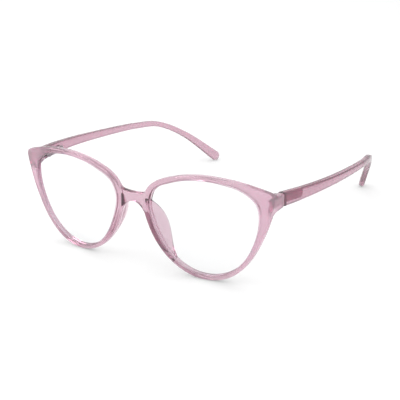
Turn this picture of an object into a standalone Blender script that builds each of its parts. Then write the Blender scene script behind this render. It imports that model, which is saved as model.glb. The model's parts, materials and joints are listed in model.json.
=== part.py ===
"""Blue light glasses: a moulded cat-eye front, two clear lenses and two temples on spring hinges.

The glasses stand on a table, open, on the bottoms of the rims and the tips of the temples.
X runs across the front (+X is the wearer's left), Y runs from the front back to the temple tips
and Z is up. The origin is below the middle of the glasses, on the table. Sizes are millimetres,
turned into metres when a mesh is made.
"""
import math

import bmesh
import bpy
from mathutils import Matrix, Vector

MM = 0.001
FRONT_Y = -76.54         # the front's own Y = 0 in the part's frame, so the origin is central

# Front: one moulding, described on the wearer's left half and mirrored.
FACE_RADIUS = 342.0      # the front is a shallow sphere of this radius
FACE_APEX_Z = 27.8
FACE_APEX_Y = -0.17
RIM_DEPTH = 3.4
RIM_EDGE = 0.4           # rounded edge of the rim
RIM_CROWN = 0.1          # the rim's front face swells by this in its middle
LENS_CENTRE = (34.7, 24.5)
OPENING = [              # (x, z) round the lens opening, from the outer side over the top
    (64.5, 32.0), (63.6, 40.0), (58.5, 45.0), (47.0, 47.9), (34.7, 48.2), (22.0, 45.4),
    (12.8, 41.0), (9.6, 34.0), (11.6, 24.6), (16.2, 14.9), (24.6, 5.9), (35.5, 2.3),
    (46.6, 4.2), (56.0, 11.2), (61.7, 21.0),
]
RIM = [                  # (x, z) round the outside of the rim; its corner is at 25 to 35 degrees
    (67.6, 28.0), (69.7, 34.6), (71.5, 40.6), (72.2, 44.4), (70.9, 45.9), (65.0, 47.5),
    (56.0, 49.5), (45.0, 50.6), (33.0, 50.4), (21.5, 48.1), (12.0, 44.2), (7.2, 38.5),
    (6.3, 32.0), (8.4, 23.4), (13.6, 13.3), (22.5, 4.6), (35.5, 0.0), (49.2, 2.7),
    (58.6, 10.9), (64.2, 20.4),
]
CORNER_ANGLES = [15.0, 18.5, 21.75, 25.0, 28.25, 31.0, 36.0]
BRIDGE_SIDE_ANGLES = [147.0, 153.0, 159.5, 166.0, 172.5]
ANGLE_STEP = 7.5
FOOT_ANGLES = (270.0, 277.5)     # the flat foot the rim stands on

GROOVE_FRONT = 0.8       # lens groove, in the rim's depth
GROOVE_BACK = 2.6
GROOVE_DEPTH = 0.8
LENS_THICKNESS = 1.2
LENS_INSERT = 0.5        # how far the lens reaches into the groove

BRIDGE_ANGLES = (153.0, 172.5)   # where the bridge joins the rim, top and bottom
BRIDGE_TOP_Z = 37.3
BRIDGE_BOTTOM_Z = 32.9
BRIDGE_FRONT_Y = 0.6
BRIDGE_BACK_Y = 3.7
ARCH_X = 3.7             # a section between the middle of the bridge and the rim
ARCH_TOP_Z = 37.5
ARCH_BOTTOM_Z = 31.9

PAD_ANGLES = (159.5, 232.5)      # nose pad, a wing behind the rim's nasal side
PAD_REACH = 7.9
PAD_END_REACH = 0.15
PAD_SKEW = 0.75          # under 1 puts the widest part of the pad nearer its top
PAD_FLARE = 0.25
PAD_ROOT = 2.3
PAD_EDGE = 1.8
PAD_STEP = 0.45          # the wing's own thickness starts at this part of its reach
PAD_CREST = 0.93         # reach of the wing's two sides, against that of its middle

RETURN_ANGLES = (18.5, 28.25)    # end piece, turned back to meet the temple
RETURN_BACK_Y = 16.8
RETURN_X = (68.0, 72.0)
RETURN_Z = (37.75, 44.45)

# Temples: rounded bars along a centreline
TEMPLE_POINTS = [        # (x, y, z) of the centreline
    (70.0, 17.1, 41.1), (72.6, 30.5, 40.1), (74.3, 47.5, 38.6), (74.6, 64.4, 36.9),
    (74.0, 82.4, 35.1), (72.3, 99.4, 33.2), (68.1, 116.4, 30.1), (60.5, 133.3, 19.7),
    (50.34, 150.04, 2.99),
]
TEMPLE_SECTIONS = [      # thickness, height, and the degrees that the lower edge is turned out
    (3.9, 6.7, 0), (3.9, 5.8, 0), (3.7, 4.9, 0), (3.5, 4.3, 0), (3.3, 3.8, 0), (3.2, 3.4, 0),
    (3.2, 3.2, 2), (3.3, 3.6, 5), (3.4, 5.7, 7),
]
TEMPLE_STATIONS = 26
TEMPLE_SIDES = 12
TEMPLE_SQUARENESS = 0.5  # exponent of the rounded section
TIP_STEPS = 3
TIP_REACH = 0.55         # length of the rounded end, against the height there

# Spring hinge: its own frame has the screw at the origin, +Y along the temple and +X outwards
HINGE = Vector((67.0, 17.5, 40.85))
HINGE_TOE = math.radians(11.0)   # the temple leaves the front bowing outwards
HINGE_DROOP = math.radians(4.2)
KNUCKLE_R = 1.5
SCREW_HOLE_R = 0.8
SCREW_R = 0.5
SCREW_HEAD_R = 1.0
SCREW_HEAD_H = 0.5
SCREW_HEAD_GAP = 0.2     # under the head
SLOT_HALF = 0.16
SLOT_DEPTH = 0.25
EYE_HALF = 0.55          # half height of the slider's knuckle
LEAF_KNUCKLE_Z = (0.7, 1.4)
LEAF_X = (68.2, 69.3)
LEAF_Y = (10.4, 16.5)
WEB_LENGTH = 1.4         # the webs that carry the leaf's two knuckles
WEB_GAP = 0.05           # between a web and the temple
PRONG_R = 0.35
PRONG_ROOT = 0.4         # the prong starts this far inside the leaf
PRONG_END_X = 70.8
PRONG_Y = 11.5
PRONG_Z = 0.68
HOUSING_X = (-1.1, 1.9)
HOUSING_Y = (2.3, 14.3)
HOUSING_HALF_Z = 1.5
HOUSING_EDGE = 0.35
BORE_X = (-0.55, 1.35)
BORE_END_Y = 13.7
BORE_HALF_Z = 0.95
ROD_X = 0.4
ROD_R = 0.45
ROD_END_Y = 12.2
ROD_ROOT = 0.3           # the rod starts this far inside the arm
ARM_Y = (0.9, 2.6)
ARM_HALF_X = 0.6
STOP_Y = (2.9, 3.8)
STOP_GAP = 0.12          # between the stop and the bore round it
SPRING_Y = (4.0, 10.7)
SPRING_TURNS = 6
SPRING_R = 0.74
SPRING_WIRE_R = 0.13
CAP_Y = (10.9, 11.9)
CAP_R = 0.85
COLLAR_HOLE_R = 0.62     # hole of the stop and of the cap, round the rod
CLEARANCE = 0.3

PLASTIC = (0.80, 0.56, 0.62)
STEEL = (0.45, 0.44, 0.46)
LENS_TINT = (0.93, 0.96, 1.0)


def clear_scene():
    for old in list(bpy.data.objects):
        bpy.data.objects.remove(old, do_unlink=True)


def material(name, colour, roughness, metallic=0.0, transmission=0.0, alpha=1.0):
    made = bpy.data.materials.new(name)
    made.use_nodes = True
    shader = made.node_tree.nodes["Principled BSDF"]
    shader.inputs["Base Color"].default_value = (*colour, 1.0)
    shader.inputs["Roughness"].default_value = roughness
    shader.inputs["Metallic"].default_value = metallic
    shader.inputs["Transmission Weight"].default_value = transmission
    shader.inputs["Alpha"].default_value = alpha
    made.diffuse_color = (*colour, alpha)
    return made


def add_object(name, bm, finish, place=Matrix.Identity(4), smooth_angle=40.0):
    """Make an object from a bmesh in millimetres, whose own frame is put at `place` (millimetres)."""
    bmesh.ops.recalc_face_normals(bm, faces=bm.faces)
    mesh = bpy.data.meshes.new(name)
    bm.to_mesh(mesh)
    bm.free()
    mesh.transform(Matrix.Scale(MM, 4))
    mesh.shade_smooth()
    mesh.set_sharp_from_angle(angle=math.radians(smooth_angle))
    made = bpy.data.objects.new(name, mesh)
    if finish:
        mesh.materials.append(finish)
    location, rotation, _ = place.decompose()
    made.location = (location + Vector((0, FRONT_Y, 0))) * MM
    made.rotation_euler = rotation.to_euler()
    bpy.context.collection.objects.link(made)
    return made


def guide(name, bm, place=Matrix.Identity(4)):
    """A cutter, or a piece to be joined on: never part of the model itself."""
    made = add_object(name, bm, None, place)
    made.hide_render = True
    made.display_type = "WIRE"
    return made


def combine(target, operation, *others):
    for other in others:
        boolean = target.modifiers.new(other.name, "BOOLEAN")
        boolean.operation = operation
        boolean.solver = "EXACT"
        boolean.object = other


def box(low, high):
    bm = bmesh.new()
    size = [b - a for a, b in zip(low, high)]
    middle = [(a + b) / 2 for a, b in zip(low, high)]
    bmesh.ops.create_cube(bm, size=1.0, matrix=Matrix.Translation(middle) @ Matrix.Diagonal((*size, 1.0)))
    return bm


def rod(radius, start, end, sides=16):
    """A closed cylinder between two points."""
    bm = bmesh.new()
    start, end = Vector(start), Vector(end)
    along = end - start
    turn = along.to_track_quat("Z", "Y").to_matrix().to_4x4()
    place = Matrix.Translation((start + end) / 2) @ turn
    bmesh.ops.create_cone(
        bm, cap_ends=True, segments=sides, radius1=radius, radius2=radius, depth=along.length, matrix=place
    )
    return bm


def mirror_mesh(bm):
    bmesh.ops.scale(bm, vec=(-1, 1, 1), verts=bm.verts)
    bmesh.ops.reverse_faces(bm, faces=bm.faces)
    return bm


# ---------------------------------------------------------------- front

def closed_outline(points):
    """Radius against angle round LENS_CENTRE, a smooth closed curve through the points."""
    cx, cz = LENS_CENTRE
    arms = [(x - cx, z - cz) for x, z in points]
    polar = sorted((math.degrees(math.atan2(z, x)) % 360, math.hypot(x, z)) for x, z in arms)
    count = len(polar)

    def knot(i):
        turns, index = divmod(i, count)
        return polar[index][0] + 360 * turns, polar[index][1]

    def slope(i):
        (a0, r0), (a1, r1) = knot(i - 1), knot(i + 1)
        return (r1 - r0) / (a1 - a0)

    def radius(angle):
        angle = angle % 360
        i = sum(1 for a, _ in polar if a <= angle) - 1
        (a0, r0), (a1, r1) = knot(i), knot(i + 1)
        span = a1 - a0
        t = (angle - a0) / span
        ease = t * t * (3 - 2 * t)
        rise = t * (1 - t) ** 2 * span * slope(i)
        fall = t * t * (1 - t) * span * slope(i + 1)
        return r0 + (r1 - r0) * ease + rise - fall

    return radius


def outline_point(radius, angle):
    r = radius(angle)
    a = math.radians(angle)
    return Vector((LENS_CENTRE[0] + r * math.cos(a), LENS_CENTRE[1] + r * math.sin(a)))


def outline_normal(radius, angle, step=1.0):
    along = outline_point(radius, angle + step) - outline_point(radius, angle - step)
    return Vector((along.y, -along.x)).normalized()


def face_y(x, z):
    """The front's forward surface."""
    return (x * x + (z - FACE_APEX_Z) ** 2) / (2 * FACE_RADIUS) + FACE_APEX_Y


def on_face(flat, depth):
    """A point of the front plane (x, z), at a depth behind the forward surface."""
    x, z = flat
    return Vector((x, face_y(x, z) + depth, z))


def station_angles():
    even = [ANGLE_STEP * i for i in range(int(360 / ANGLE_STEP))]
    chosen = (CORNER_ANGLES, BRIDGE_SIDE_ANGLES)
    spread = [a for a in even if not any(part[0] - 2 <= a <= part[-1] + 2 for part in chosen)]
    return sorted(spread + CORNER_ANGLES + BRIDGE_SIDE_ANGLES)


OUTER_FRONT, OUTER_MIDDLE, OUTER_BACK, BACK_OUTER, BACK_MIDDLE = 4, 5, 6, 7, 8


def rim_section(opening, rim, angle):
    """The fifteen points of the rim's section: front face, outer side, back face and lens groove."""
    inner = outline_point(opening, angle)
    inward = outline_normal(opening, angle)
    outer = outline_point(rim, angle)
    outward = outline_normal(rim, angle)
    if FOOT_ANGLES[0] <= angle <= FOOT_ANGLES[1]:
        outer.y = 0.0
    near, far = inner + inward * RIM_EDGE, outer - outward * RIM_EDGE
    middle = (inner + outer) / 2
    depth = RIM_DEPTH
    profile = [
        (inner, RIM_EDGE), (near, 0.0), (middle, -RIM_CROWN), (far, 0.0),
        (outer, RIM_EDGE), (outer, depth / 2), (outer, depth - RIM_EDGE), (far, depth),
        (middle, depth), (near, depth), (inner, depth - RIM_EDGE),
        (inner, GROOVE_BACK), (inner + inward * GROOVE_DEPTH, GROOVE_BACK),
        (inner + inward * GROOVE_DEPTH, GROOVE_FRONT), (inner, GROOVE_FRONT),
    ]
    return [on_face(point, at) for point, at in profile]


def grow(bm, base, layers, cap=True):
    """Grow a patch of the mesh: `base` is its grid of vertices, a layer gives a point for (row, column)."""
    rows, columns = len(base), len(base[0])
    edge = [(0, c) for c in range(columns)]
    edge += [(r, columns - 1) for r in range(1, rows)]
    edge += [(rows - 1, c) for c in range(columns - 2, -1, -1)]
    edge += [(r, 0) for r in range(rows - 2, 0, -1)]
    below = {key: base[key[0]][key[1]] for key in edge}
    for layer in layers:
        above = {key: bm.verts.new(layer(*key)) for key in edge}
        for a, b in zip(edge, edge[1:] + edge[:1]):
            bm.faces.new((below[a], below[b], above[b], above[a]))
        below = above
    if not cap:
        return
    for r in range(1, rows - 1):
        for c in range(1, columns - 1):
            below[r, c] = bm.verts.new(layers[-1](r, c))
    for r in range(rows - 1):
        for c in range(columns - 1):
            bm.faces.new((below[r, c], below[r + 1, c], below[r + 1, c + 1], below[r, c + 1]))


def bridge_layers(rows):
    def arch(r, c):
        t = r / (rows - 1)
        back = c / 2
        y = BRIDGE_FRONT_Y + (BRIDGE_BACK_Y - BRIDGE_FRONT_Y) * back
        return Vector((ARCH_X, y, ARCH_TOP_Z + (ARCH_BOTTOM_Z - ARCH_TOP_Z) * t))

    def middle(r, c):
        t = r / (rows - 1)
        y = BRIDGE_FRONT_Y + (BRIDGE_BACK_Y - BRIDGE_FRONT_Y) * c / 2
        return Vector((0.0, y, BRIDGE_TOP_Z + (BRIDGE_BOTTOM_Z - BRIDGE_TOP_Z) * t))

    return [arch, middle]


def pad_layers(rim, angles):
    last = len(angles) - 1

    def wing(r, c, along, thickness):
        s = (r / last) ** PAD_SKEW
        reach = PAD_END_REACH + PAD_REACH * math.sin(math.pi * s) ** 1.3
        out = outline_normal(rim, angles[r])
        root = outline_point(rim, angles[r]) - out * PAD_ROOT / 2
        flat = root - out * (PAD_FLARE * reach * along) + out * thickness * (0.5 - c / 2)
        y = face_y(root.x, root.y) + RIM_DEPTH + reach * along
        return Vector((flat.x, y, flat.y))

    def root(r, c):
        return wing(r, c, PAD_STEP, PAD_ROOT)

    def crest(r, c):
        mid = c == 1 and 0 < r < last
        return wing(r, c, 1.0 if mid else PAD_CREST, PAD_EDGE)

    return [root, crest]


def return_layers(base):
    last = len(base) - 1

    def section(r, c, inset, y):
        x = RETURN_X[1] - inset + (RETURN_X[0] - RETURN_X[1] + 2 * inset) * c / 2
        z = RETURN_Z[0] + inset + (RETURN_Z[1] - RETURN_Z[0] - 2 * inset) * r / last
        return Vector((x, y, z))

    def middle(r, c):
        return (base[r][c].co + section(r, c, 0.0, RETURN_BACK_Y)) / 2

    def back(r, c):
        return section(r, c, 0.0, RETURN_BACK_Y - RIM_EDGE)

    def end(r, c):
        return section(r, c, RIM_EDGE, RETURN_BACK_Y)

    return [middle, back, end]


def front_half():
    bm = bmesh.new()
    opening, rim = closed_outline(OPENING), closed_outline(RIM)
    angles = station_angles()
    ring = [[bm.verts.new(point) for point in rim_section(opening, rim, angle)] for angle in angles]
    count, points = len(ring), len(ring[0])

    def patch(span, first, last):
        rows = [i for i, angle in enumerate(angles) if span[0] <= angle <= span[1]]
        return rows, [[ring[i][c] for c in range(first, last + 1)] for i in rows]

    bridge_rows, bridge = patch(BRIDGE_ANGLES, OUTER_FRONT, OUTER_BACK)
    pad_rows, pad = patch(PAD_ANGLES, OUTER_BACK, BACK_MIDDLE)
    return_rows, turned = patch(RETURN_ANGLES, OUTER_BACK, BACK_MIDDLE)
    grown = {(i, k) for i in bridge_rows[:-1] for k in (OUTER_FRONT, OUTER_MIDDLE)}
    grown |= {(i, k) for i in pad_rows[:-1] + return_rows[:-1] for k in (OUTER_BACK, BACK_OUTER)}
    for i in range(count):
        here, after = ring[i], ring[(i + 1) % count]
        for k in range(points):
            if (i, k) not in grown:
                bm.faces.new((here[k], after[k], after[(k + 1) % points], here[(k + 1) % points]))
    grow(bm, bridge, bridge_layers(len(bridge)), cap=False)
    grow(bm, pad, pad_layers(rim, [angles[i] for i in pad_rows]))
    grow(bm, turned, return_layers(turned))
    return bm


def front_mesh():
    """Both halves of the front, joined in the middle of the bridge."""
    bm = front_half()
    copy = bmesh.ops.duplicate(bm, geom=bm.verts[:] + bm.edges[:] + bm.faces[:])["geom"]
    bmesh.ops.scale(bm, vec=(-1, 1, 1), verts=[v for v in copy if isinstance(v, bmesh.types.BMVert)])
    middle = [v for v in bm.verts if abs(v.co.x) < 1e-6]
    bmesh.ops.remove_doubles(bm, verts=middle, dist=1e-4)
    bmesh.ops.triangulate(bm, faces=bm.faces)
    return bm


def lens_mesh():
    """A curved plate that follows the front and reaches into the rim's groove."""
    bm = bmesh.new()
    opening = closed_outline(OPENING)
    centre = Vector(LENS_CENTRE)
    front = (GROOVE_FRONT + GROOVE_BACK - LENS_THICKNESS) / 2
    rings = []
    for depth in (front, front + LENS_THICKNESS):
        edge = []
        for angle in station_angles():
            edge.append(outline_point(opening, angle) + outline_normal(opening, angle) * LENS_INSERT)
        rows = [
            [bm.verts.new(on_face(centre + (p - centre) * part, depth)) for p in edge]
            for part in (1, 0.5)
        ]
        middle = bm.verts.new(on_face(centre, depth))
        rings.append(rows[0])
        count = len(edge)
        for i in range(count):
            j = (i + 1) % count
            bm.faces.new((rows[0][i], rows[0][j], rows[1][j], rows[1][i]))
            bm.faces.new((rows[1][i], rows[1][j], middle))
    for i in range(count):
        j = (i + 1) % count
        bm.faces.new((rings[0][i], rings[0][j], rings[1][j], rings[1][i]))
    return bm


# ---------------------------------------------------------------- temples

def smooth_path(points, t):
    """A point at t (0 to 1) on a smooth curve through the points."""
    last = len(points) - 1
    at = min(t * last, last - 1e-9)
    i = int(at)
    u = at - i
    a, b = points[i], points[i + 1]
    before = points[i - 1] if i else a * 2 - b
    after = points[i + 2] if i + 2 <= last else b * 2 - a
    slope_a, slope_b = (b - before) / 2, (after - a) / 2
    ease = u * u * (3 - 2 * u)
    return a + (b - a) * ease + slope_a * (u * (1 - u) ** 2) - slope_b * (u * u * (1 - u))


def rounded_section(width, height, sides):
    ring = []
    for i in range(sides):
        a = 2 * math.pi * (i + 0.5) / sides
        x = math.copysign(abs(math.cos(a)) ** TEMPLE_SQUARENESS, math.cos(a))
        z = math.copysign(abs(math.sin(a)) ** TEMPLE_SQUARENESS, math.sin(a))
        ring.append((x * width / 2, z * height / 2))
    return ring


def temple_mesh():
    bm = bmesh.new()
    centres = [Vector(p) for p in TEMPLE_POINTS]
    sections = [Vector(section) for section in TEMPLE_SECTIONS]
    rings = []

    def add_ring(centre, along, section, scale=1.0):
        thickness, height, cant = section
        across = Vector((1, 0, 0)) - along * along.x
        across = Matrix.Rotation(math.radians(-cant), 3, along) @ across.normalized()
        up = across.cross(along).normalized()
        outline = rounded_section(thickness * scale, height * scale, TEMPLE_SIDES)
        rings.append([bm.verts.new(centre + across * x + up * z) for x, z in outline])

    for i in range(TEMPLE_STATIONS):
        t = i / (TEMPLE_STATIONS - 1)
        centre = smooth_path(centres, t)
        along = (smooth_path(centres, min(t + 0.01, 1)) - smooth_path(centres, max(t - 0.01, 0))).normalized()
        if i == 0:
            along = Vector((0, 1, 0))
        add_ring(centre, along, smooth_path(sections, t))
    tip_reach = sections[-1].y * TIP_REACH
    for step in range(1, TIP_STEPS + 1):
        a = math.radians(75.0 * step / TIP_STEPS)
        add_ring(centre + along * tip_reach * math.sin(a), along, sections[-1], scale=math.cos(a))
    for here, after in zip(rings, rings[1:]):
        for k in range(TEMPLE_SIDES):
            j = (k + 1) % TEMPLE_SIDES
            bm.faces.new((here[k], here[j], after[j], after[k]))
    bm.faces.new(rings[0])
    bm.faces.new(rings[-1])
    return bm


# ---------------------------------------------------------------- spring hinge

def hinge_frames(side):
    """Frames at the screw: square to the front, and along the temple."""
    at = Matrix.Translation((HINGE.x * side, HINGE.y, HINGE.z))
    toe = Matrix.Rotation(-HINGE_TOE * side, 4, "Z")
    droop = Matrix.Rotation(-HINGE_DROOP, 4, "X")
    return at, at @ toe @ droop


def sided(bm, side):
    return bm if side > 0 else mirror_mesh(bm)


def from_hinge(low, high):
    """A box given in the front's frame, moved to the hinge's own frame."""
    return box([a - b for a, b in zip(low, HINGE)], [a - b for a, b in zip(high, HINGE)])


def front_leaf(tag, side, steel, plastic_front):
    at, _ = hinge_frames(side)
    z0, z1 = LEAF_KNUCKLE_Z
    middle = HINGE.z
    plate = from_hinge((LEAF_X[0], LEAF_Y[0], middle - z1), (LEAF_X[1], LEAF_Y[1], middle + z1))
    leaf = add_object(f"front_hinge_leaf_{tag}", sided(plate, side), steel, at)
    for name, sign in (("upper", 1), ("lower", -1)):
        low, high = sorted((z0 * sign, z1 * sign))
        web = from_hinge(
            (HINGE.x, LEAF_Y[1] - WEB_LENGTH, middle + low),
            (LEAF_X[1] - WEB_GAP, LEAF_Y[1] + WEB_GAP, middle + high),
        )
        knuckle = rod(KNUCKLE_R, (0, 0, low), (0, 0, high))
        prong = rod(
            PRONG_R,
            (LEAF_X[1] - HINGE.x - PRONG_ROOT, PRONG_Y - HINGE.y, PRONG_Z * sign),
            (PRONG_END_X - HINGE.x, PRONG_Y - HINGE.y, PRONG_Z * sign),
            sides=8,
        )
        joined = [
            guide(f"guide_{kind}_{name}_{tag}", sided(shape, side), at)
            for kind, shape in (("web", web), ("knuckle", knuckle), ("prong", prong))
        ]
        combine(leaf, "UNION", *joined)
        hole = rod(
            PRONG_R + CLEARANCE,
            (LEAF_X[1] - HINGE.x - PRONG_ROOT, PRONG_Y - HINGE.y, PRONG_Z * sign),
            (PRONG_END_X - HINGE.x + CLEARANCE, PRONG_Y - HINGE.y, PRONG_Z * sign),
            sides=8,
        )
        combine(plastic_front, "DIFFERENCE", guide(f"guide_prong_hole_{name}_{tag}", sided(hole, side), at))
    through = rod(SCREW_HOLE_R, (0, 0, -3), (0, 0, 3))
    combine(leaf, "DIFFERENCE", guide(f"guide_leaf_hole_{tag}", sided(through, side), at))
    pocket = from_hinge(
        (HINGE.x - 4, LEAF_Y[0] - CLEARANCE, middle - z1 - CLEARANCE),
        (LEAF_X[1] + CLEARANCE, RETURN_BACK_Y + 2, middle + z1 + CLEARANCE),
    )
    combine(plastic_front, "DIFFERENCE", guide(f"guide_leaf_pocket_{tag}", sided(pocket, side), at))


def hinge_screw(tag, side, steel):
    at, _ = hinge_frames(side)
    top = LEAF_KNUCKLE_Z[1]
    head_z = top + SCREW_HEAD_GAP
    shank = rod(SCREW_R, (0, 0, -top), (0, 0, head_z + SLOT_DEPTH / 2))
    screw = add_object(f"hinge_screw_{tag}", sided(shank, side), steel, at)
    head = rod(SCREW_HEAD_R, (0, 0, head_z), (0, 0, head_z + SCREW_HEAD_H))
    slot_z = head_z + SCREW_HEAD_H - SLOT_DEPTH
    slot = box((-2, -SLOT_HALF, slot_z), (2, SLOT_HALF, slot_z + 2))
    combine(screw, "UNION", guide(f"guide_head_{tag}", sided(head, side), at))
    combine(screw, "DIFFERENCE", guide(f"guide_slot_{tag}", sided(slot, side), at))


def hinge_slider(tag, side, steel):
    at, along = hinge_frames(side)
    eye = rod(KNUCKLE_R, (0, 0, -EYE_HALF), (0, 0, EYE_HALF))
    slider = add_object(f"hinge_slider_{tag}", sided(eye, side), steel, at)
    arm = box((ROD_X - ARM_HALF_X, ARM_Y[0], -EYE_HALF), (ROD_X + ARM_HALF_X, ARM_Y[1], EYE_HALF))
    shaft = rod(ROD_R, (ROD_X, ARM_Y[1] - ROD_ROOT, 0), (ROD_X, ROD_END_Y, 0), sides=12)
    through = rod(SCREW_HOLE_R, (0, 0, -3), (0, 0, 3))
    combine(slider, "UNION", guide(f"guide_arm_{tag}", sided(arm, side), along))
    combine(slider, "UNION", guide(f"guide_shaft_{tag}", sided(shaft, side), along))
    combine(slider, "DIFFERENCE", guide(f"guide_eye_hole_{tag}", sided(through, side), at))


def hinge_housing(tag, side, steel):
    _, along = hinge_frames(side)
    outer = box(
        (HOUSING_X[0], HOUSING_Y[0], -HOUSING_HALF_Z), (HOUSING_X[1], HOUSING_Y[1], HOUSING_HALF_Z)
    )
    long_edges = [e for e in outer.edges if abs(e.verts[0].co.y - e.verts[1].co.y) > 1]
    bmesh.ops.bevel(outer, geom=long_edges, offset=HOUSING_EDGE, segments=2, affect="EDGES", profile=0.5)
    housing = add_object(f"hinge_housing_{tag}", sided(outer, side), steel, along)
    bore = box((BORE_X[0], HOUSING_Y[0] - 1, -BORE_HALF_Z), (BORE_X[1], BORE_END_Y, BORE_HALF_Z))
    combine(housing, "DIFFERENCE", guide(f"guide_bore_{tag}", sided(bore, side), along))


def collar(name, shape, y_span, side, place, steel):
    made = add_object(name, sided(shape, side), steel, place)
    hole = rod(COLLAR_HOLE_R, (ROD_X, y_span[0] - 1, 0), (ROD_X, y_span[1] + 1, 0), sides=12)
    combine(made, "DIFFERENCE", guide(f"guide_hole_{name}", sided(hole, side), place))


def spring_parts(tag, side, steel):
    """The stop fixed in the housing, the coil round the rod and the cap on the rod's end."""
    _, along = hinge_frames(side)
    block = box(
        (BORE_X[0] + STOP_GAP, STOP_Y[0], -BORE_HALF_Z + STOP_GAP),
        (BORE_X[1] - STOP_GAP, STOP_Y[1], BORE_HALF_Z - STOP_GAP),
    )
    collar(f"spring_stop_{tag}", block, STOP_Y, side, along, steel)
    disc = rod(CAP_R, (ROD_X, CAP_Y[0], 0), (ROD_X, CAP_Y[1], 0), sides=12)
    collar(f"rod_cap_{tag}", disc, CAP_Y, side, along, steel)
    add_object(f"hinge_spring_{tag}", sided(coil_mesh(), side), steel, along)


def coil_mesh(steps_per_turn=12, sides=6):
    bm = bmesh.new()
    steps = SPRING_TURNS * steps_per_turn
    low, high = SPRING_Y[0] + SPRING_WIRE_R, SPRING_Y[1] - SPRING_WIRE_R
    rings = []
    for i in range(steps + 1):
        turn = 2 * math.pi * i / steps_per_turn
        out = Vector((math.cos(turn), 0, math.sin(turn)))
        centre = Vector((ROD_X, low + (high - low) * i / steps, 0)) + out * SPRING_R
        ring = []
        for k in range(sides):
            a = 2 * math.pi * k / sides
            offset = out * math.cos(a) + Vector((0, 1, 0)) * math.sin(a)
            ring.append(bm.verts.new(centre + offset * SPRING_WIRE_R))
        rings.append(ring)
    for here, after in zip(rings, rings[1:]):
        for k in range(sides):
            j = (k + 1) % sides
            bm.faces.new((here[k], here[j], after[j], after[k]))
    bm.faces.new(rings[0])
    bm.faces.new(rings[-1])
    return bm


def temple(tag, side, plastic):
    at, along = hinge_frames(side)
    bm = temple_mesh()
    bmesh.ops.translate(bm, vec=-HINGE, verts=bm.verts)
    made = add_object(f"temple_{tag}", sided(bm, side), plastic, at)
    pocket = box(
        (HOUSING_X[0] - 3, -2, -HOUSING_HALF_Z - CLEARANCE),
        (HOUSING_X[1] + CLEARANCE, HOUSING_Y[1] + CLEARANCE, HOUSING_HALF_Z + CLEARANCE),
    )
    combine(made, "DIFFERENCE", guide(f"guide_hinge_pocket_{tag}", sided(pocket, side), along))


def build():
    clear_scene()
    plastic = material("rose_plastic", PLASTIC, roughness=0.12, transmission=0.6)
    steel = material("hinge_steel", STEEL, roughness=0.3, metallic=1.0)
    clear = material("lens_clear", LENS_TINT, roughness=0.02, transmission=1.0, alpha=0.3)
    front = add_object("front_frame", front_mesh(), plastic)
    for tag, side in (("left", 1), ("right", -1)):
        add_object(f"lens_{tag}", sided(lens_mesh(), side), clear)
        front_leaf(tag, side, steel, front)
        hinge_screw(tag, side, steel)
        hinge_slider(tag, side, steel)
        hinge_housing(tag, side, steel)
        spring_parts(tag, side, steel)
        temple(tag, side, plastic)


build()
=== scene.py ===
"""The looks of the blue light glasses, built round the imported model.

Every mesh is made in millimetres in the front's own frame: X across, Y from the front's forward
surface back along the temples, Z up from the table. link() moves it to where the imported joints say
that the hinges are.
"""
import json
import math

import bmesh
import bpy
from mathutils import Matrix, Vector


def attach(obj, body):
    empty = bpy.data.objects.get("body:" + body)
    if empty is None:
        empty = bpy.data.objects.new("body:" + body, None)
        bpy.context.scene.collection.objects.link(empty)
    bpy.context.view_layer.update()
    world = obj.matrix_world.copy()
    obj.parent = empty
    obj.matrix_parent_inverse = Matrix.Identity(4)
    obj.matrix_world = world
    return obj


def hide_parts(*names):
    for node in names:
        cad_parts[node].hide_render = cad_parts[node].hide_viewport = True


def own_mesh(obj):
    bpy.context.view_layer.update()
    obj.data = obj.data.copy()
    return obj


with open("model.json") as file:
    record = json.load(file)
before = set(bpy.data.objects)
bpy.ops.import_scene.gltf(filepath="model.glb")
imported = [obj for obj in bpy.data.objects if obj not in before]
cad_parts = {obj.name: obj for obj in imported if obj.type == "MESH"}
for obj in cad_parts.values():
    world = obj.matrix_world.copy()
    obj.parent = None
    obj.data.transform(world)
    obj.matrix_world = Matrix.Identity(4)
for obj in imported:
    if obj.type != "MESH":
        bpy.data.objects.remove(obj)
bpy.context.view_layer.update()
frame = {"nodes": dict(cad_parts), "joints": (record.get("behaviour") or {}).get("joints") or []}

MM = 0.001

# Camera: its place in the front's frame, and how it is turned
EYE = Vector((249.6, -312.1, 187.6))
AZIMUTH = math.radians(34.07)
ELEVATION = math.radians(21.29)
ROLL = math.radians(-2.12)
FOCAL_LENGTH = 82.4
NEAR_CLIP = 0.01

# Front: one moulding, described on the wearer's left half and mirrored
FACE_RADIUS = 342.0
FACE_APEX_Z = 27.8
FACE_APEX_Y = -0.17
RIM_DEPTH = 3.4
RIM_EDGE = 0.4
RIM_CROWN = 0.1          # the middle of the rim's face stands this far forward of its sides
LENS_CENTRE = (34.7, 24.5)
OPENING = [              # (x, z) of the lens opening
    (64.5, 32.0), (63.6, 40.0), (58.5, 45.0), (47.0, 47.9), (34.7, 48.2), (22.0, 45.4),
    (12.8, 41.0), (9.6, 34.0), (11.6, 24.6), (16.2, 14.9), (24.6, 5.9), (35.5, 2.3),
    (46.6, 4.2), (56.0, 11.2), (61.7, 21.0),
]
RIM = [                  # (x, z) of the rim's outer side
    (67.6, 28.0), (69.7, 34.6), (71.5, 40.6), (72.2, 44.4), (70.9, 45.9), (65.0, 47.5),
    (56.0, 49.5), (45.0, 50.6), (33.0, 50.4), (21.5, 48.1), (12.0, 44.2), (7.2, 38.5),
    (6.3, 32.0), (8.4, 23.4), (13.6, 13.3), (22.5, 4.6), (35.5, 0.0), (49.2, 2.7),
    (58.6, 10.9), (64.2, 20.4),
]
ANGLE_STEP = 7.5         # between the rim's sections, in degrees about the lens centre
CORNER_ANGLES = [15.0, 18.5, 21.75, 25.0, 28.25, 31.0, 36.0]
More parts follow.
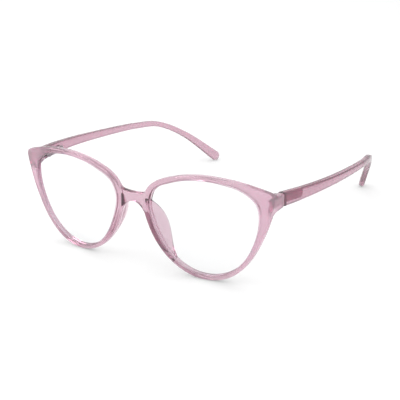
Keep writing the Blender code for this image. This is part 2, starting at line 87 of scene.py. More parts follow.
BRIDGE_SIDE_ANGLES = [147.0, 153.0, 159.5, 166.0, 172.5]
ANGLE_GAP = 2.0          # no even section comes nearer than this to the listed ones
FOOT_ANGLES = (270.0, 277.5)     # the rim is flat here, where it stands on the table
SUBDIVISIONS = 2

GROOVE_FRONT = 0.8
GROOVE_BACK = 2.6
GROOVE_DEPTH = 0.8
GROOVE_CREASE = 0.8
BRIDGE_CREASE = 0.6
LENS_THICKNESS = 1.2
LENS_INSERT = 0.5        # how far the lens's bevelled edge reaches into the groove
LENS_FACE_INSERT = 0.1
LENS_SPOKES = 144
LENS_RINGS = (0.15, 0.3, 0.45, 0.6, 0.75, 0.9, 1.0)

BRIDGE_ANGLES = (153.0, 172.5)
BRIDGE_TOP_Z = 37.3
BRIDGE_BOTTOM_Z = 32.9
BRIDGE_FRONT_Y = 0.6
BRIDGE_BACK_Y = 3.7
ARCH_X = 3.7             # section between the rim and the middle of the bridge
ARCH_TOP_Z = 37.5
ARCH_BOTTOM_Z = 31.9

PAD_ANGLES = (159.5, 232.5)
PAD_REACH = 7.9
PAD_END_REACH = 0.15
PAD_SKEW = 0.75          # brings the wing's longest part nearer to its upper end
PAD_FALL = 1.3           # how steeply its reach falls off towards its ends
PAD_FLARE = 0.25
PAD_ROOT = 2.3
PAD_EDGE = 1.8
PAD_STEP = 0.45          # the wing's own thickness starts at this part of its reach
PAD_CREST = 0.93         # reach of the wing's two sides, against that of its middle

RETURN_ANGLES = (18.5, 28.25)    # end piece, turned back to meet the temple
RETURN_BACK_Y = 16.8
RETURN_X = (68.0, 72.0)
RETURN_Z = (37.75, 44.45)

# Temples: rounded bars along a centreline
TEMPLE_POINTS = [        # (x, y, z) of the centreline
    (70.0, 17.1, 41.1), (72.6, 30.5, 40.1), (74.3, 47.5, 38.6), (74.6, 64.4, 36.9),
    (74.0, 82.4, 35.1), (72.3, 99.4, 33.2), (68.1, 116.4, 30.1), (60.5, 133.3, 19.7),
    (50.34, 150.04, 2.99),
]
TEMPLE_SECTIONS = [      # thickness, height, and the degrees that the lower edge is turned out
    (3.9, 6.7, 0), (3.9, 5.8, 0), (3.7, 4.9, 0), (3.5, 4.3, 0), (3.3, 3.8, 0), (3.2, 3.4, 0),
    (3.2, 3.2, 2), (3.3, 3.6, 5), (3.4, 5.7, 7),
]
TEMPLE_STATIONS = 120
TEMPLE_SIDES = 36
TEMPLE_SQUARENESS = 0.5  # exponent of the rounded section
TEMPLE_FRONT = [(0.0, 0.8), (0.12, 0.25), (0.4, 0.0)]    # rounded front: distance back, inset
PATH_STEP = 0.01         # to each side of a station, to find the path's direction there
TIP_STEPS = 8
TIP_TURN = 80.0          # degrees of the round end, which closes with a small flat
TIP_REACH = 0.55         # length of the rounded end, against the height there

# Hinge: its own frame has the screw at the origin, +Y along the temple and +X outwards
HINGE = Vector((67.0, 17.5, 40.85))
HINGE_TOE = math.radians(11.0)
HINGE_DROOP = math.radians(4.2)
LEAF_X = (68.2, 69.3)
LEAF_Y = (10.4, 16.5)
LEAF_HALF_Z = 1.4
POCKET_IN = 4.0          # the leaf's pocket starts this far inwards of the screw
CUT_PAST = 2.0           # a cutter goes this far past an open end
HOUSING_X = (-1.1, 1.9)
HOUSING_Y = (2.3, 14.3)
HOUSING_HALF_Z = 1.5
HOUSING_EDGE = 0.45
HOUSING_EDGE_STEPS = 4
HOUSING_EDGE_PROFILE = 0.5       # round
HOUSING_END_STEPS = 12
HOUSING_SHARP = math.radians(40)
BORE_X = (-0.55, 1.35)
BORE_END_Y = 13.7
BORE_HALF_Z = 0.95
ROD_X = 0.4
SPRING_Y = (4.0, 10.7)
SPRING_TURNS = 6
SPRING_R = 0.74
SPRING_WIRE_R = 0.13
SPRING_CLOSED = 2.2      # pitch of the closed end turns, in wire radii
SPRING_STEPS = 32        # for each turn
SPRING_SIDES = 12
SEAT = 0.03              # metal let into plastic bites this far into it
TINY = 1e-6
MERGE = 1e-4             # vertices of the two halves this near to each other become one

# Looks, with lengths in metres
NOISE_BAND = (0.3, 0.7)          # where nearly all of a noise texture's values are
TINT = (0.55, 0.14, 0.32)        # what the depth of the plastic lets through
ROSE = (0.87, 0.755, 0.80)       # its milky share
DEEP_ROSE = (0.81, 0.64, 0.715)
CLOUDS = (0.97, 1.0)
PLASTIC_IOR = 1.49
PLASTIC_SHINE = (1.0, 0.7, 0.82)
MILK_DEPTH = 0.002
MILK_RADIUS = (1.0, 0.75, 0.85)
END_SPAN = (0.048, 0.068)        # distance from the middle where the front turns milky
LENS_CLEAR = (0.993, 0.994, 0.992)
LENS_SHINE = (0.5, 0.55, 0.68)
LENS_SHINE_SHARE = (0.025, 0.8)  # seen square on, and along the surface
LENS_SHINE_POWER = 5.0           # how late the shine rises towards its second share
STEEL = (0.35, 0.29, 0.31)
BRIGHT_STEEL = (0.52, 0.47, 0.49)
# painted reflection: the rose light that embedded steel catches through the plastic, painted into the
# colour of its faces against it
PAINTED_ROSE_REFLECTION = (0.74, 0.38, 0.51)
PAINTED_REFLECTION_FULL = 0.03               # outward slope times distance from the middle, for the full painted reflection colour
WORLD_LEAN = -0.35               # the light of the surroundings is stronger above and in front
WORLD_BAND = (-0.4, 0.6)
WORLD_STRENGTH = (0.62, 0.87)
FLOOR_RADIUS = 8.0
FLOOR_SIDES = 96
FLOOR_WHITE = (0.96, 0.96, 0.96)
LIGHT_PATHS = 32


# ---------------------------------------------------------------- placing

joints = {joint["name"]: joint for joint in frame["joints"]}
SHIFT = Vector(joints["fold_left"]["pos_m"]) - HINGE * MM
SHIFT.x = 0.0


def link(name, bm):
    """Make an object from a bmesh in millimetres."""
    bmesh.ops.recalc_face_normals(bm, faces=bm.faces)
    mesh = bpy.data.meshes.new(name)
    bm.to_mesh(mesh)
    bm.free()
    mesh.transform(Matrix.Translation(SHIFT) @ Matrix.Scale(MM, 4))
    mesh.shade_smooth()
    made = bpy.data.objects.new(name, mesh)
    bpy.context.collection.objects.link(made)
    return made


def mirror_mesh(bm):
    bmesh.ops.scale(bm, vec=(-1, 1, 1), verts=bm.verts)
    bmesh.ops.reverse_faces(bm, faces=bm.faces)
    return bm


def sided(bm, side):
    return bm if side > 0 else mirror_mesh(bm)


def hinge_frame():
    """The left hinge's frame, along the temple."""
    at = Matrix.Translation(HINGE)
    toe = Matrix.Rotation(-HINGE_TOE, 4, "Z")
    droop = Matrix.Rotation(-HINGE_DROOP, 4, "X")
    return at @ toe @ droop


def cut(piece, cutter):
    """Take the cutter out of the piece. settle() applies it and drops the cutter."""
    boolean = piece.modifiers.new("cut", "BOOLEAN")
    boolean.operation = "DIFFERENCE"
    boolean.solver = "EXACT"
    boolean.object = cutter


def settle(piece):
    """Turn the piece's modifiers into plain mesh."""
    graph = bpy.context.evaluated_depsgraph_get()
    mesh = bpy.data.meshes.new_from_object(piece.evaluated_get(graph))
    used = [m.object for m in piece.modifiers if m.type == "BOOLEAN"]
    piece.modifiers.clear()
    old = piece.data
    piece.data = mesh
    mesh.name = piece.name
    bpy.data.meshes.remove(old)
    for tool in used:
        bpy.data.objects.remove(tool, do_unlink=True)


def join_rings(bm, rings):
    """Faces between each ring of vertices and the next."""
    for here, after in zip(rings, rings[1:]):
        for k in range(len(here)):
            j = (k + 1) % len(here)
            bm.faces.new((here[k], here[j], after[j], after[k]))


def tube(bm, rings):
    """Join the rings, and close the first and the last."""
    join_rings(bm, rings)
    bm.faces.new(rings[0])
    bm.faces.new(rings[-1])
    return bm


# ---------------------------------------------------------------- front

def closed_outline(points):
    """Radius against angle round LENS_CENTRE, a smooth closed curve through the points."""
    cx, cz = LENS_CENTRE
    arms = [(x - cx, z - cz) for x, z in points]
    polar = sorted((math.degrees(math.atan2(z, x)) % 360, math.hypot(x, z)) for x, z in arms)
    count = len(polar)

    def knot(i):
        turns, index = divmod(i, count)
        return polar[index][0] + 360 * turns, polar[index][1]

    def slope(i):
        (a0, r0), (a1, r1) = knot(i - 1), knot(i + 1)
        return (r1 - r0) / (a1 - a0)

    def radius(angle):
        angle = angle % 360
        i = sum(1 for a, _ in polar if a <= angle) - 1
        (a0, r0), (a1, r1) = knot(i), knot(i + 1)
        span = a1 - a0
        t = (angle - a0) / span
        ease = t * t * (3 - 2 * t)
        rise = t * (1 - t) ** 2 * span * slope(i)
        fall = t * t * (1 - t) * span * slope(i + 1)
        return r0 + (r1 - r0) * ease + rise - fall

    return radius


def outline_point(radius, angle):
    r = radius(angle)
    a = math.radians(angle)
    return Vector((LENS_CENTRE[0] + r * math.cos(a), LENS_CENTRE[1] + r * math.sin(a)))


def outline_normal(radius, angle, step=1.0):
    along = outline_point(radius, angle + step) - outline_point(radius, angle - step)
    return Vector((along.y, -along.x)).normalized()


def face_y(x, z):
    """The front's forward surface."""
    return (x * x + (z - FACE_APEX_Z) ** 2) / (2 * FACE_RADIUS) + FACE_APEX_Y


def on_face(flat, depth):
    x, z = flat
    return Vector((x, face_y(x, z) + depth, z))


def station_angles():
    even = [ANGLE_STEP * i for i in range(int(360 / ANGLE_STEP))]
    chosen = (CORNER_ANGLES, BRIDGE_SIDE_ANGLES)
    taken = [(part[0] - ANGLE_GAP, part[-1] + ANGLE_GAP) for part in chosen]
    spread = [a for a in even if not any(low <= a <= high for low, high in taken)]
    return sorted(spread + CORNER_ANGLES + BRIDGE_SIDE_ANGLES)


# Places in the rim's section, which has its first point at the lens opening's front edge
OUTER_FRONT, OUTER_MIDDLE, OUTER_BACK, BACK_OUTER, BACK_MIDDLE = 4, 5, 6, 7, 8
GROOVE_POINTS = (11, 12, 13, 14)


def rim_section(opening, rim, angle):
    """The fifteen points of the rim's section: front face, outer side, back face and lens groove."""
    inner = outline_point(opening, angle)
    inward = outline_normal(opening, angle)
    outer = outline_point(rim, angle)
    outward = outline_normal(rim, angle)
    if FOOT_ANGLES[0] <= angle <= FOOT_ANGLES[1]:
        outer.y = 0.0
    near, far = inner + inward * RIM_EDGE, outer - outward * RIM_EDGE
    middle = (inner + outer) / 2
    depth = RIM_DEPTH
    profile = [
        (inner, RIM_EDGE), (near, 0.0), (middle, -RIM_CROWN), (far, 0.0),
        (outer, RIM_EDGE), (outer, depth / 2), (outer, depth - RIM_EDGE), (far, depth),
        (middle, depth), (near, depth), (inner, depth - RIM_EDGE),
        (inner, GROOVE_BACK), (inner + inward * GROOVE_DEPTH, GROOVE_BACK),
        (inner + inward * GROOVE_DEPTH, GROOVE_FRONT), (inner, GROOVE_FRONT),
    ]
    return [on_face(point, at) for point, at in profile]


def grow(bm, base, layers, cap=True):
    """Grow a patch of the mesh out of it.

    base is the patch's grid of vertices, and each layer gives a point for (row, column).
    """
    rows, columns = len(base), len(base[0])
    edge = [(0, c) for c in range(columns)]
    edge += [(r, columns - 1) for r in range(1, rows)]
    edge += [(rows - 1, c) for c in range(columns - 2, -1, -1)]
    edge += [(r, 0) for r in range(rows - 2, 0, -1)]
    below = {key: base[key[0]][key[1]] for key in edge}
    for layer in layers:
        above = {key: bm.verts.new(layer(*key)) for key in edge}
        for a, b in zip(edge, edge[1:] + edge[:1]):
            bm.faces.new((below[a], below[b], above[b], above[a]))
        below = above
    if not cap:
        return
    for r in range(1, rows - 1):
        for c in range(1, columns - 1):
            below[r, c] = bm.verts.new(layers[-1](r, c))
    for r in range(rows - 1):
        for c in range(columns - 1):
            bm.faces.new((below[r, c], below[r + 1, c], below[r + 1, c + 1], below[r, c + 1]))


def bridge_layers(rows):
    """Half of the bridge, from the rim to the middle."""
    def at(r, c, x, top, bottom):
        y = BRIDGE_FRONT_Y + (BRIDGE_BACK_Y - BRIDGE_FRONT_Y) * c / 2
        return Vector((x, y, top + (bottom - top) * r / (rows - 1)))

    def arch(r, c):
        return at(r, c, ARCH_X, ARCH_TOP_Z, ARCH_BOTTOM_Z)

    def middle(r, c):
        return at(r, c, 0.0, BRIDGE_TOP_Z, BRIDGE_BOTTOM_Z)

    return [arch, middle]


def pad_layers(rim, angles):
    """The nose pad: a wing that stands back from the rim and flares out from the nose."""
    last = len(angles) - 1

    def wing(r, c, along, thickness):
        s = (r / last) ** PAD_SKEW
        reach = PAD_END_REACH + PAD_REACH * math.sin(math.pi * s) ** PAD_FALL
        out = outline_normal(rim, angles[r])
        root = outline_point(rim, angles[r]) - out * PAD_ROOT / 2
        flat = root - out * (PAD_FLARE * reach * along) + out * thickness * (0.5 - c / 2)
        y = face_y(root.x, root.y) + RIM_DEPTH + reach * along
        return Vector((flat.x, y, flat.y))

    def root(r, c):
        return wing(r, c, PAD_STEP, PAD_ROOT)

    def crest(r, c):
        mid = c == 1 and 0 < r < last
        return wing(r, c, 1.0 if mid else PAD_CREST, PAD_EDGE)

    return [root, crest]


def return_layers(base):
    """The end piece, from the back of the rim's corner to its square end."""
    last = len(base) - 1

    def section(r, c, inset, y):
        x = RETURN_X[1] - inset + (RETURN_X[0] - RETURN_X[1] + 2 * inset) * c / 2
        z = RETURN_Z[0] + inset + (RETURN_Z[1] - RETURN_Z[0] - 2 * inset) * r / last
        return Vector((x, y, z))

    def middle(r, c):
        return (base[r][c].co + section(r, c, 0.0, RETURN_BACK_Y)) / 2

    def back(r, c):
        return section(r, c, 0.0, RETURN_BACK_Y - RIM_EDGE)

    def end(r, c):
        return section(r, c, RIM_EDGE, RETURN_BACK_Y)

    return [middle, back, end]


def front_half():
    """The left half of the front, with its lens groove, pad and end piece."""
    bm = bmesh.new()
    crease = bm.edges.layers.float.new("crease_edge")
    opening, rim = closed_outline(OPENING), closed_outline(RIM)
    angles = station_angles()
    ring = [[bm.verts.new(point) for point in rim_section(opening, rim, angle)] for angle in angles]
    count, points = len(ring), len(ring[0])

    def patch(span, first, last):
        rows = [i for i, angle in enumerate(angles) if span[0] <= angle <= span[1]]
        return rows, [[ring[i][c] for c in range(first, last + 1)] for i in rows]

    bridge_rows, bridge = patch(BRIDGE_ANGLES, OUTER_FRONT, OUTER_BACK)
    pad_rows, pad = patch(PAD_ANGLES, OUTER_BACK, BACK_MIDDLE)
    return_rows, turned = patch(RETURN_ANGLES, OUTER_BACK, BACK_MIDDLE)
    grown = {(i, k) for i in bridge_rows[:-1] for k in (OUTER_FRONT, OUTER_MIDDLE)}
    grown |= {(i, k) for i in pad_rows[:-1] + return_rows[:-1] for k in (OUTER_BACK, BACK_OUTER)}
    for i in range(count):
        here, after = ring[i], ring[(i + 1) % count]
        for k in range(points):
            if (i, k) not in grown:
                bm.faces.new((here[k], after[k], after[(k + 1) % points], here[(k + 1) % points]))
    for i in range(count):
        for k in GROOVE_POINTS:
            bm.edges.get((ring[i][k], ring[(i + 1) % count][k]))[crease] = GROOVE_CREASE
    for a, b in zip(bridge[0], bridge[0][1:]):
        bm.edges.get((a, b))[crease] = BRIDGE_CREASE
    for a, b in zip(bridge, bridge[1:]):
        bm.edges.get((a[0], b[0]))[crease] = BRIDGE_CREASE
    grow(bm, bridge, bridge_layers(len(bridge)), cap=False)
    grow(bm, pad, pad_layers(rim, [angles[i] for i in pad_rows]))
    grow(bm, turned, return_layers(turned))
    return bm


def front_mesh():
    """Both halves of the front, joined in the middle of the bridge."""
    bm = front_half()
    copy = bmesh.ops.duplicate(bm, geom=bm.verts[:] + bm.edges[:] + bm.faces[:])["geom"]
    bmesh.ops.scale(bm, vec=(-1, 1, 1), verts=[v for v in copy if isinstance(v, bmesh.types.BMVert)])
    middle = [v for v in bm.verts if abs(v.co.x) < TINY]
    bmesh.ops.remove_doubles(bm, verts=middle, dist=MERGE)
    return bm


def box(low, high):
    """A box from one corner to the other."""
    bm = bmesh.new()
    size = Matrix.Diagonal([b - a for a, b in zip(low, high)] + [1.0])
    middle = Matrix.Translation([(a + b) / 2 for a, b in zip(low, high)])
    bmesh.ops.create_cube(bm, size=1.0, matrix=middle @ size)
    return bm


def leaf_pocket():
    """The slot in the end piece: tight round the leaf, open towards the hinge."""
    z = HINGE.z
    return box(
        (HINGE.x - POCKET_IN, LEAF_Y[0] + SEAT, z - LEAF_HALF_Z + SEAT),
        (LEAF_X[1] - SEAT, RETURN_BACK_Y + CUT_PAST, z + LEAF_HALF_Z - SEAT),
    )


def build_front():
    front = link("frame_front", front_mesh())
    smooth = front.modifiers.new("smooth", "SUBSURF")
    smooth.levels = smooth.render_levels = SUBDIVISIONS
    front.modifiers.new("triangles", "TRIANGULATE")
    for side in (1, -1):
        cut(front, link("cutter", sided(leaf_pocket(), side)))
    settle(front)
    return front


def lens_mesh():
    """A curved plate with a bevelled edge that sits in the rim's groove."""
    bm = bmesh.new()
    opening = closed_outline(OPENING)
    centre = Vector(LENS_CENTRE)
    front = (GROOVE_FRONT + GROOVE_BACK - LENS_THICKNESS) / 2
    back = front + LENS_THICKNESS
    angles = [360 / LENS_SPOKES * i for i in range(LENS_SPOKES)]

    def ring(part, insert, depth):
        row = []
        for angle in angles:
            edge = outline_point(opening, angle) + outline_normal(opening, angle) * insert
            row.append(bm.verts.new(on_face(centre + (edge - centre) * part, depth)))
        return row

    rows = [ring(part, LENS_FACE_INSERT, front) for part in LENS_RINGS]
    rows.append(ring(1.0, LENS_INSERT, (front + back) / 2))
    rows += [ring(part, LENS_FACE_INSERT, back) for part in reversed(LENS_RINGS)]
    join_rings(bm, rows)
    for row, depth in ((rows[0], front), (rows[-1], back)):
        middle = bm.verts.new(on_face(centre, depth))
        for here, after in zip(row, row[1:] + row[:1]):
            bm.faces.new((here, after, middle))
    return bm


# ---------------------------------------------------------------- temples

def smooth_path(points, t):
    """A point at t (0 to 1) on a smooth curve through the points."""
    last = len(points) - 1
    at = min(t * last, last - 1e-9)
    i = int(at)
    u = at - i
    a, b = points[i], points[i + 1]
    before = points[i - 1] if i else a * 2 - b
    after = points[i + 2] if i + 2 <= last else b * 2 - a
    slope_a, slope_b = (b - before) / 2, (after - a) / 2
    ease = u * u * (3 - 2 * u)
    return a + (b - a) * ease + slope_a * (u * (1 - u) ** 2) - slope_b * (u * u * (1 - u))


def rounded_section(width, height):
    """Points round a section between an ellipse and a rectangle."""
    ring = []
    for i in range(TEMPLE_SIDES):
        a = 2 * math.pi * (i + 0.5) / TEMPLE_SIDES
        x = math.copysign(abs(math.cos(a)) ** TEMPLE_SQUARENESS, math.cos(a))
        z = math.copysign(abs(math.sin(a)) ** TEMPLE_SQUARENESS, math.sin(a))
        ring.append((x * width / 2, z * height / 2))
    return ring


def temple_mesh():
    """The left temple, from its rounded front edge to its tip."""
    bm = bmesh.new()
    centres = [Vector(p) for p in TEMPLE_POINTS]
    sections = [Vector(section) for section in TEMPLE_SECTIONS]
    rings = []

    def add_ring(centre, along, section, inset=0.0, scale=1.0):
        thickness, height, cant = section
        across = Vector((1, 0, 0)) - along * along.x
        across = Matrix.Rotation(math.radians(-cant), 3, along) @ across.normalized()
        up = across.cross(along).normalized()
        outline = rounded_section(thickness * scale - inset, height * scale - inset)
        rings.append([bm.verts.new(centre + across * x + up * z) for x, z in outline])

    back = Vector((0, 1, 0))
    for distance, inset in TEMPLE_FRONT:
        add_ring(centres[0] + back * distance, back, sections[0], inset=inset)
    for i in range(1, TEMPLE_STATIONS):
        t = i / (TEMPLE_STATIONS - 1)
        centre = smooth_path(centres, t)
        before = smooth_path(centres, max(t - PATH_STEP, 0))
        along = (smooth_path(centres, min(t + PATH_STEP, 1)) - before).normalized()
        add_ring(centre, along, smooth_path(sections, t))
    tip_reach = sections[-1].y * TIP_REACH
    for step in range(1, TIP_STEPS + 1):
        a = math.radians(TIP_TURN * step / TIP_STEPS)
        add_ring(centre + along * tip_reach * math.sin(a), along, sections[-1], scale=math.cos(a))
    return tube(bm, rings)


def housing_solid(shrink):
    """The hinge housing without its bore: a bar with a rounded rear end."""
    bm = bmesh.new()
    half = HOUSING_HALF_Z - shrink
    outline = [(HOUSING_Y[0], -half), (HOUSING_Y[0], half)]
    end = HOUSING_Y[1] - shrink - half
    for i in range(HOUSING_END_STEPS + 1):
        a = math.pi / 2 - math.pi * i / HOUSING_END_STEPS
        outline.append((end + half * math.cos(a), half * math.sin(a)))
    sides = (HOUSING_X[0], HOUSING_X[1] - shrink)
    tube(bm, [[bm.verts.new((x, y, z)) for y, z in outline] for x in sides])
    bmesh.ops.recalc_face_normals(bm, faces=bm.faces)
    return bm


def build_temple(tag, side):
    temple = link(f"temple_{tag}_arm", sided(temple_mesh(), side))
    temple.modifiers.new("triangles", "TRIANGULATE")
    pocket = housing_solid(SEAT)
    pocket.transform(hinge_frame())
    cut(temple, link("cutter", sided(pocket, side)))
    settle(temple)
    return temple


def build_housing(tag, side):
    """The housing, with softened edges on the side that shows and its bore for the spring."""
    solid = housing_solid(0.0)
    shown = [e for e in solid.edges if all(v.co.x < HOUSING_X[0] + TINY for v in e.verts)]
    bmesh.ops.bevel(
        solid, geom=shown, affect="EDGES",
        offset=HOUSING_EDGE, segments=HOUSING_EDGE_STEPS, profile=HOUSING_EDGE_PROFILE,
    )
    solid.transform(hinge_frame())
    housing = link(f"hinge_housing_{tag}_shell", sided(solid, side))
    mouth_y = HOUSING_Y[0] - CUT_PAST
    bore = box((BORE_X[0], mouth_y, -BORE_HALF_Z), (BORE_X[1], BORE_END_Y, BORE_HALF_Z))
    bore.transform(hinge_frame())
    cut(housing, link("cutter", sided(bore, side)))
    settle(housing)
    housing.data.set_sharp_from_angle(angle=HOUSING_SHARP)
    return housing


def spring_mesh():
    """A compression spring round the rod, with its end turns closed up."""
    bm = bmesh.new()
    low, high = SPRING_Y[0] + SPRING_WIRE_R, SPRING_Y[1] - SPRING_WIRE_R
    closed = SPRING_CLOSED * SPRING_WIRE_R
    pitch = (high - low - 2 * closed) / (SPRING_TURNS - 2)
    rings = []
    for i in range(SPRING_TURNS * SPRING_STEPS + 1):
        turns = i / SPRING_STEPS
        a = 2 * math.pi * turns
        out = Vector((math.cos(a), 0, math.sin(a)))
        middle = min(max(turns - 1, 0), SPRING_TURNS - 2)
        y = low + closed * (turns - middle) + pitch * middle
        centre = Vector((ROD_X, y, 0)) + out * SPRING_R
        ring = []
        for k in range(SPRING_SIDES):
            b = 2 * math.pi * k / SPRING_SIDES
            offset = out * math.cos(b) + Vector((0, 1, 0)) * math.sin(b)
            ring.append(bm.verts.new(centre + offset * SPRING_WIRE_R))
        rings.append(ring)
    return tube(bm, rings)


def build_spring(tag, side):
    coil = spring_mesh()
    coil.transform(hinge_frame())
    return link(f"hinge_spring_{tag}_coil", sided(coil, side))


def squash_spring(spring, side):
    """Finds the spring's stop and gives the spring a mesh of its own; the spring is not shortened."""
    stop = hinge_frame() @ Vector((ROD_X, SPRING_Y[0], 0))
    stop.x *= side
    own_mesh(spring)


# ---------------------------------------------------------------- materials

def new_material(name):
    made = bpy.data.materials.new(name)
    made.use_nodes = True
    tree = made.node_tree
    return made, tree, tree.nodes["Principled BSDF"], tree.nodes["Material Output"]


def feed(tree, socket, value):
    """Join another node's output to a socket, or set the socket's own value."""
    if isinstance(value, bpy.types.NodeSocket):
        tree.links.new(value, socket)
    else:
        socket.default_value = value


def add_node(tree, kind, inputs=None, **settings):
    """A new node with its settings, and its inputs by name or number."""
    made = tree.nodes.new(kind)
    for setting, value in settings.items():
        setattr(made, setting, value)
    for key, value in (inputs or {}).items():
        feed(tree, made.inputs[key], value)
    return made


def calculate(tree, operation, *values):
    inputs = dict(enumerate(values))
    return add_node(tree, "ShaderNodeMath", inputs, operation=operation).outputs[0]


def map_range(tree, value, source, target, shape="LINEAR"):
    """Turn the range source into the range target."""
    inputs = {
        "Value": value, "From Min": source[0], "From Max": source[1],
        "To Min": target[0], "To Max": target[1],
    }
    return add_node(tree, "ShaderNodeMapRange", inputs, interpolation_type=shape).outputs["Result"]


def mix_colours(tree, share, first, second, blend_type="MIX"):
    inputs = {0: share, 6: first, 7: second}
    return add_node(tree, "ShaderNodeMix", inputs, data_type="RGBA", blend_type=blend_type).outputs[2]


def components(tree, vector):
    return add_node(tree, "ShaderNodeSeparateXYZ", {0: vector}).outputs


def noise(tree, target, scale, detail):
    """A noise in object space, mapped to the range target."""
    where = add_node(tree, "ShaderNodeTexCoord").outputs["Object"]
    made = add_node(tree, "ShaderNodeTexNoise", {"Vector": where, "Scale": scale, "Detail": detail})
    return map_range(tree, made.outputs["Fac"], NOISE_BAND, target)


def roughen(tree, shader, strength, distance, scale, detail):
    """Give the shader a fine bump."""
    height = noise(tree, (0, 1), scale, detail)
    inputs = {"Strength": strength, "Distance": distance, "Height": height}
    feed(tree, shader.inputs["Normal"], add_node(tree, "ShaderNodeBump", inputs).outputs["Normal"])


def plastic(name, density, clear, rough, body, span=None):
    """Translucent moulded plastic: clear with a coloured depth, and a share of milky body.

    With span, clear, rough and body are pairs, the first for the middle of the front and the second
    for its ends, and span is the two distances from the middle between which they change. Without
    it only the roughness is a pair, and wanders between its two.
    """
    made, tree, shader, output = new_material(name)
    if span:
        where = add_node(tree, "ShaderNodeTexCoord").outputs["Object"]
        away = calculate(tree, "ABSOLUTE", components(tree, where)["X"])
        clear = map_range(tree, away, span, clear, "SMOOTHSTEP")
        rough = map_range(tree, away, span, rough, "SMOOTHSTEP")
        share = map_range(tree, away, span, (0.0, 1.0), "SMOOTHSTEP")
        shade = mix_colours(tree, share, (*body[0], 1), (*body[1], 1))
    else:
        rough = noise(tree, rough, scale=160, detail=3)
        shade = (*body, 1)
    clouded = mix_colours(tree, 1.0, shade, noise(tree, CLOUDS, scale=90, detail=2), "MULTIPLY")
    feed(tree, shader.inputs["Base Color"], clouded)
    feed(tree, shader.inputs["Roughness"], rough)
    # Light that is already inside isn't lost at the milky surface.
    inside = add_node(tree, "ShaderNodeNewGeometry").outputs["Backfacing"]
    feed(tree, shader.inputs["Transmission Weight"], calculate(tree, "MAXIMUM", inside, clear))
    shader.inputs["IOR"].default_value = PLASTIC_IOR
    shader.inputs["Specular Tint"].default_value = (*PLASTIC_SHINE, 1)
    shader.inputs["Subsurface Weight"].default_value = 1.0
    shader.inputs["Subsurface Scale"].default_value = MILK_DEPTH
    shader.inputs["Subsurface Radius"].default_value = MILK_RADIUS
    roughen(tree, shader, strength=0.015, distance=0.0003, scale=120, detail=1)
    depth = add_node(tree, "ShaderNodeVolumeAbsorption", {"Color": (*TINT, 1), "Density": density})
    feed(tree, output.inputs["Volume"], depth.outputs["Volume"])
    return made


def clear_lens():
    """Clear plastic with an anti-reflection coating: what is behind shows, under a weak cool shine."""
    made, tree, shader, output = new_material("lens_clear")
    tree.nodes.remove(shader)
    clear = add_node(tree, "ShaderNodeBsdfTransparent", {"Color": (*LENS_CLEAR, 1)})
    rough = noise(tree, (0.0, 0.02), scale=40, detail=1)
    shine = add_node(tree, "ShaderNodeBsdfGlossy", {"Color": (*LENS_SHINE, 1), "Roughness": rough})
    facing = add_node(tree, "ShaderNodeLayerWeight", {"Blend": 0.5}).outputs["Facing"]
    steep = calculate(tree, "POWER", facing, LENS_SHINE_POWER)
    share = map_range(tree, steep, (0, 1), LENS_SHINE_SHARE)
    layers = {"Fac": share, 1: clear.outputs["BSDF"], 2: shine.outputs["BSDF"]}
    mix = add_node(tree, "ShaderNodeMixShader", layers)
    feed(tree, output.inputs["Surface"], mix.outputs["Shader"])
    return made


def metal(name, colour, rough, painted_reflection=None, forward=False):
    """Brushed metal. Its faces that lie against plastic take the given colour, if any: a painted rose
    reflection of the light that reaches them through the pink plastic, in place of the steel's own
    grey.

    Those are the faces that look away from the wearer's head, and with forward also the ones that
    look to the front.
    """
    made, tree, shader, _ = new_material(name)
    shade = (*colour, 1)
    # painted reflection: faces against the plastic are coloured rose, standing in for the light that
    # reaches them through it
    if painted_reflection:
        where = add_node(tree, "ShaderNodeTexCoord").outputs
        normal, place = components(tree, where["Normal"]), components(tree, where["Object"])
        against = calculate(tree, "MULTIPLY", normal["X"], place["X"])
        if forward:
            against = calculate(tree, "MULTIPLY_ADD", normal["Y"], -PAINTED_REFLECTION_FULL, against)
        share = map_range(tree, against, (0.0, PAINTED_REFLECTION_FULL), (0.0, 1.0))
        shade = mix_colours(tree, share, shade, (*painted_reflection, 1))
    feed(tree, shader.inputs["Base Color"], shade)
    shader.inputs["Metallic"].default_value = 1.0
    feed(tree, shader.inputs["Roughness"], noise(tree, rough, scale=900, detail=3))
    roughen(tree, shader, strength=0.1, distance=0.0001, scale=1500, detail=2)
    return made


# ---------------------------------------------------------------- studio

def world_light():
    """White surroundings, stronger above and in front."""
    world = bpy.data.worlds.new("studio")
    bpy.context.scene.world = world
    world.use_nodes = True
    tree = world.node_tree
    direction = components(tree, add_node(tree, "ShaderNodeTexCoord").outputs["Generated"])
    lean = calculate(tree, "MULTIPLY_ADD", direction["Y"], WORLD_LEAN, direction["Z"])
    background = tree.nodes["Background"]
    strength = map_range(tree, lean, WORLD_BAND, WORLD_STRENGTH, "SMOOTHSTEP")
    feed(tree, background.inputs["Strength"], strength)
    background.inputs["Color"].default_value = (1, 1, 1, 1)


def area_light(name, eye, size, power):
    """A round lamp that looks at the object and casts no shadow."""
    light = bpy.data.lights.new(name, "AREA")
    light.shape = "DISK"
    light.size = size
    light.energy = power
    light.use_shadow = False
    made = bpy.data.objects.new(name, light)
    made.location = eye
    made.rotation_euler = Vector(eye).to_track_quat("Z", "Y").to_euler()
    bpy.context.collection.objects.link(made)


def build_floor():
    bm = bmesh.new()
    bmesh.ops.create_circle(bm, cap_ends=True, segments=FLOOR_SIDES, radius=FLOOR_RADIUS)
    mesh = bpy.data.meshes.new("floor")
    bm.to_mesh(mesh)
    bm.free()
    floor = bpy.data.objects.new("floor", mesh)
    bpy.context.collection.objects.link(floor)
    made, _, shader, _ = new_material("floor_white")
    shader.inputs["Base Color"].default_value = (*FLOOR_WHITE, 1)
    shader.inputs["Roughness"].default_value = 0.9
    shader.inputs["Specular IOR Level"].default_value = 0.0
    mesh.materials.append(made)


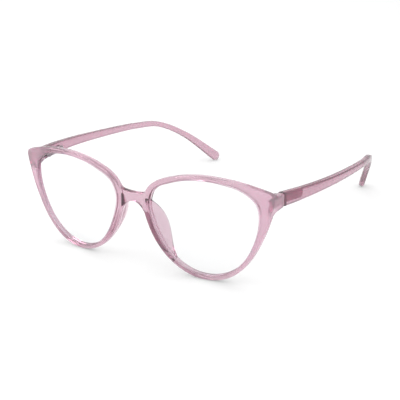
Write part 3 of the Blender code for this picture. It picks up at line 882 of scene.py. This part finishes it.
def build_camera():
    camera = bpy.data.objects.new("camera", bpy.data.cameras.new("camera"))
    bpy.context.collection.objects.link(camera)
    camera.data.lens = FOCAL_LENGTH
    camera.data.clip_start = NEAR_CLIP
    turn = Matrix.Rotation(AZIMUTH, 4, "Z")
    tilt = Matrix.Rotation(math.pi / 2 - ELEVATION, 4, "X")
    roll = Matrix.Rotation(ROLL, 4, "Z")
    camera.matrix_world = Matrix.Translation(EYE * MM + SHIFT) @ turn @ tilt @ roll
    bpy.context.scene.camera = camera


# ---------------------------------------------------------------- assembly

def dress(piece, material):
    piece.data.materials.clear()
    piece.data.materials.append(material)


build_camera()
world_light()
build_floor()
area_light("key", eye=(-0.7, -0.6, 0.9), size=0.6, power=7.5)
area_light("rim", eye=(-0.78, 1.15, 0.62), size=0.9, power=1.0)
scene = bpy.context.scene
scene.view_settings.view_transform = "Standard"
scene.cycles.caustics_refractive = scene.cycles.caustics_reflective = False
scene.cycles.max_bounces = LIGHT_PATHS
scene.cycles.glossy_bounces = scene.cycles.transmission_bounces = LIGHT_PATHS

clear_rose = plastic(
    "rose_clear", density=178, clear=(0.93, 0.66), rough=(0.08, 0.12), body=(ROSE, DEEP_ROSE),
    span=END_SPAN,
)
milky_rose = plastic("rose_milky", density=225, clear=0.86, rough=(0.12, 0.16), body=ROSE)
# the housing and the leaf get a painted rose reflection on their faces against the plastic
steel = metal("steel_with_painted_rose", STEEL, rough=(0.25, 0.4), painted_reflection=PAINTED_ROSE_REFLECTION)
leaf_steel = metal("leaf_steel", STEEL, rough=(0.25, 0.4), painted_reflection=PAINTED_ROSE_REFLECTION, forward=True)
dark_steel = metal("hinge_steel", STEEL, rough=(0.25, 0.4))
bright_steel = metal("screw_steel", BRIGHT_STEEL, rough=(0.2, 0.3))
lens = clear_lens()

front = build_front()
dress(front, clear_rose)
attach(front, "front")
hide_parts("front_frame")

for tag, side in (("left", 1), ("right", -1)):
    glass = link(f"lens_{tag}_clear", sided(lens_mesh(), side))
    dress(glass, lens)
    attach(glass, "front")
    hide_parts(f"lens_{tag}")
    temple = build_temple(tag, side)
    dress(temple, milky_rose)
    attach(temple, f"arm_{tag}")
    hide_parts(f"temple_{tag}")
    housing = build_housing(tag, side)
    dress(housing, steel)
    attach(housing, f"arm_{tag}")
    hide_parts(f"hinge_housing_{tag}")
    frame["nodes"][f"front_hinge_leaf_{tag}"].material_slots[0].material = leaf_steel
    for node in ("hinge_slider", "spring_stop", "rod_cap"):
        frame["nodes"][f"{node}_{tag}"].material_slots[0].material = dark_steel
    frame["nodes"][f"hinge_screw_{tag}"].material_slots[0].material = bright_steel
    spring = build_spring(tag, side)
    dress(spring, bright_steel)
    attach(spring, f"arm_{tag}")
    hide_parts(f"hinge_spring_{tag}")
    squash_spring(spring, side)
